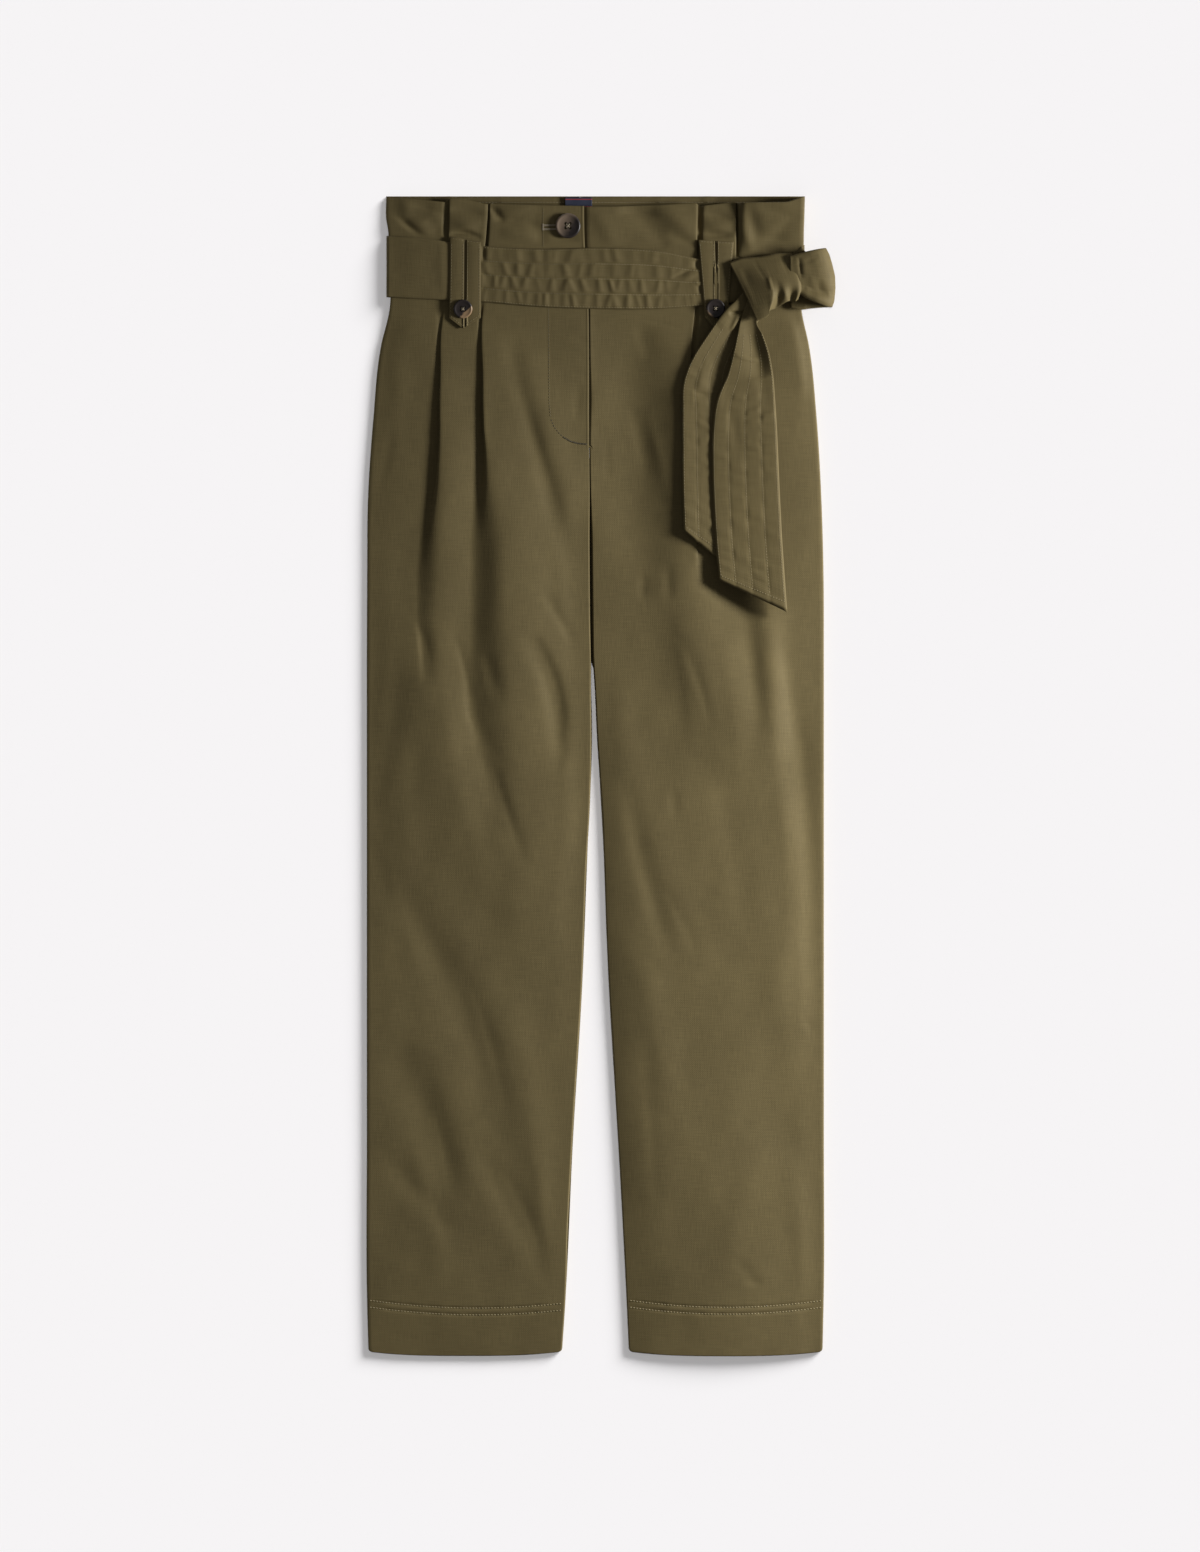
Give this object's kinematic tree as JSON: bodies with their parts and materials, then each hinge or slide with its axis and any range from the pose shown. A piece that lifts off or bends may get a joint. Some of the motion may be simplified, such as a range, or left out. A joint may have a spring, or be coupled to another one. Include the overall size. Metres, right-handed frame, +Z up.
{
  "type": "paperbag waist trousers",
  "caption": "Wide-leg cotton trousers lying flat, with a pleated paperbag waist, a quilted sash tied in a half bow, pointed belt carriers and horn-look buttons.",
  "frame": {"origin": "on the surface that the trousers lie on, below the middle of their outline", "axes": "+Y towards the waist, +Z up out of the front, the wearer's right at -X"},
  "size_m": [0.42, 1.044, 0.0294],
  "materials": {
    "twill": "olive khaki cotton twill, soft dull surface",
    "sash_cloth": "olive khaki cotton twill, quilted in rows",
    "button_horn": "dark horn-look button resin, polished, with a paler streak",
    "tape": "navy woven tape with thin red lines"
  },
  "bodies": {
    "root": {"front_right": "twill", "front_left": "twill", "back_right": "twill", "back_left": "twill", "sash_front": "sash_cloth", "sash_back": "sash_cloth", "sash_knot": "sash_cloth", "sash_bow": "sash_cloth", "sash_tail_short": "sash_cloth", "sash_tail_long": "sash_cloth", "carrier_right": "twill", "carrier_left": "twill", "button_waist": "button_horn", "button_right": "button_horn", "button_left": "button_horn", "waist_tape": "tape"}
  },
  "joints": []
}
